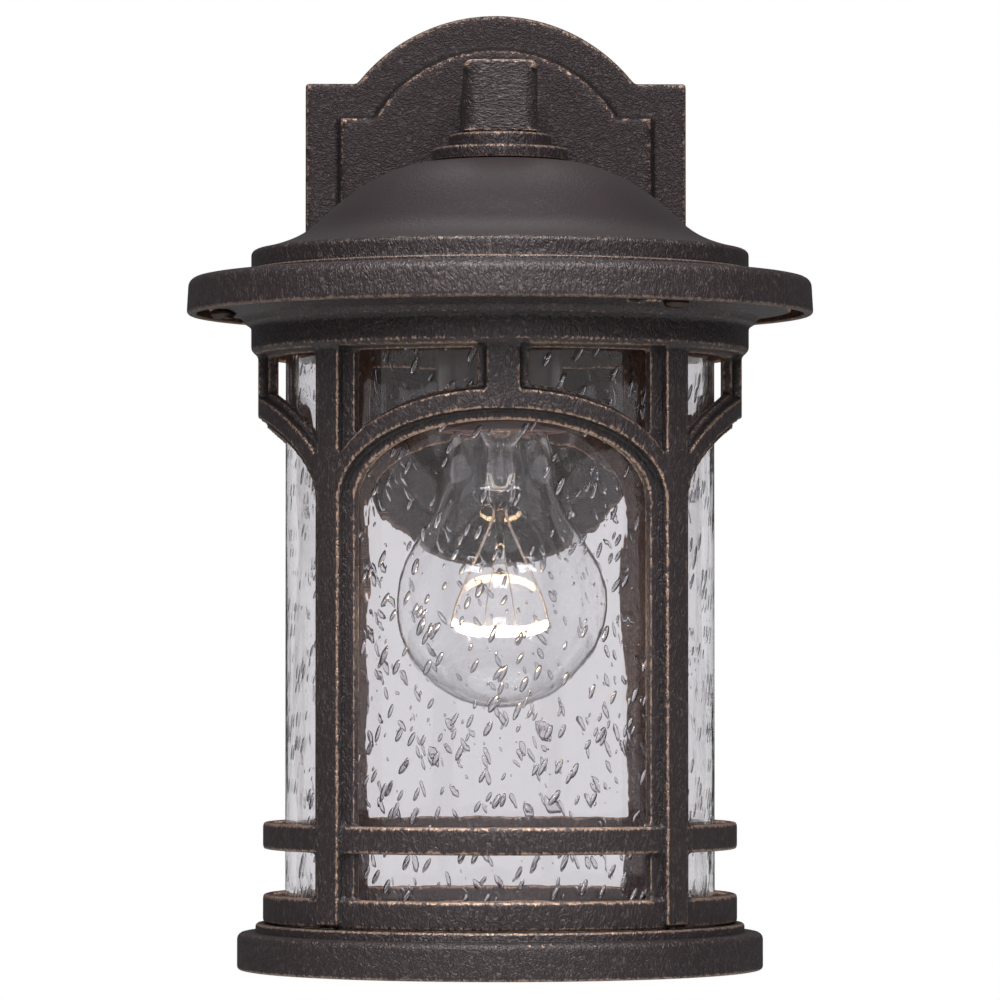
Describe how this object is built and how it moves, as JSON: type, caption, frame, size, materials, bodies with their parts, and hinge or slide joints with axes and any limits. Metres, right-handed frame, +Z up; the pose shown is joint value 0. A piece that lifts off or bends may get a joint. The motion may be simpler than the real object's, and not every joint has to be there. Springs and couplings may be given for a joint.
{
  "type": "outdoor wall lantern",
  "caption": "Wall lantern with an arched backplate, short arm, domed brimmed roof, and a round arched cage over a seeded glass cylinder and a screw-in bulb",
  "frame": {"origin": "the middle of the backplate, on the wall", "axes": "+Z up, the lantern stands out from the wall along -Y, +X to the right of a person facing it"},
  "size_m": [0.1778, 0.2029, 0.2811],
  "materials": {
    "bronze_casting": "dark antique bronze paint over a fine wrinkled casting, rubbed to copper along its edges",
    "zinc_plated_steel": "satin",
    "green_screw": "satin",
    "phenolic": "satin",
    "brass": "satin",
    "seeded_glass": "clear, with seeds",
    "bulb_glass": "clear",
    "bulb_nickel": "polished",
    "black_glass": "gloss",
    "filament": "glowing",
    "black_insulation": "satin",
    "white_insulation": "satin",
    "copper": "bare drawn wire",
    "yellow_plastic": "moulded",
    "red_plastic": "moulded"
  },
  "bodies": {
    "wall_side": {"backplate": "bronze_casting", "arm": "bronze_casting", "neck_collar": "bronze_casting", "roof": "bronze_casting", "cap_nut_left": "bronze_casting", "cap_nut_right": "bronze_casting", "wall_strap": "zinc_plated_steel", "mounting_stud_left": "zinc_plated_steel", "mounting_stud_right": "zinc_plated_steel", "arm_nipple": "zinc_plated_steel", "arm_washer": "zinc_plated_steel", "arm_locknut": "zinc_plated_steel", "roof_nipple": "zinc_plated_steel", "roof_washer": "zinc_plated_steel", "roof_locknut": "zinc_plated_steel", "strap_ground_screw": "green_screw", "plate_ground_screw": "green_screw", "lampholder_cap": "phenolic", "lampholder_body": "phenolic", "lampholder_screw_shell": "brass", "lampholder_centre_contact": "brass", "lead_black": "black_insulation", "lead_white": "white_insulation", "lead_earth": "copper", "wire_nut_black": "yellow_plastic", "wire_nut_white": "red_plastic"},
    "cage": {"cage": "bronze_casting", "glass_cylinder": "seeded_glass", "base": "bronze_casting", "base_screw_1": "zinc_plated_steel", "base_screw_2": "zinc_plated_steel", "base_screw_3": "zinc_plated_steel", "base_screw_4": "zinc_plated_steel"},
    "bulb": {"bulb_glass": "bulb_glass", "bulb_cap": "bulb_nickel", "bulb_insulator": "black_glass", "bulb_tip_contact": "bulb_nickel", "bulb_stem": "bulb_glass", "bulb_filament": "filament", "bulb_lead_left": "bulb_nickel", "bulb_lead_right": "bulb_nickel"},
    "cage_screw_1": {"cage_screw_1": "bronze_casting"},
    "cage_screw_2": {"cage_screw_2": "bronze_casting"},
    "cage_screw_3": {"cage_screw_3": "bronze_casting"}
  },
  "joints": [
    {"name": "cage_drop", "type": "slide", "parent": "wall_side", "child": "cage", "axis": [0, 0, -1], "range_m": [0, 0.125]},
    {"name": "bulb_withdraw", "type": "slide", "parent": "wall_side", "child": "bulb", "axis": [0, 0, -1], "range_m": [0, 0.03]},
    {"name": "cage_screw_turn_1", "type": "hinge", "parent": "cage", "child": "cage_screw_1", "pos_m": [0.04742, -0.17693, -0.011], "axis": [0, 0, 1], "continuous": true},
    {"name": "cage_screw_turn_2", "type": "hinge", "parent": "cage", "child": "cage_screw_2", "pos_m": [0.03079, -0.04146, -0.011], "axis": [0, 0, 1], "continuous": true},
    {"name": "cage_screw_turn_3", "type": "hinge", "parent": "cage", "child": "cage_screw_3", "pos_m": [-0.07821, -0.1236, -0.011], "axis": [0, 0, 1], "continuous": true}
  ]
}
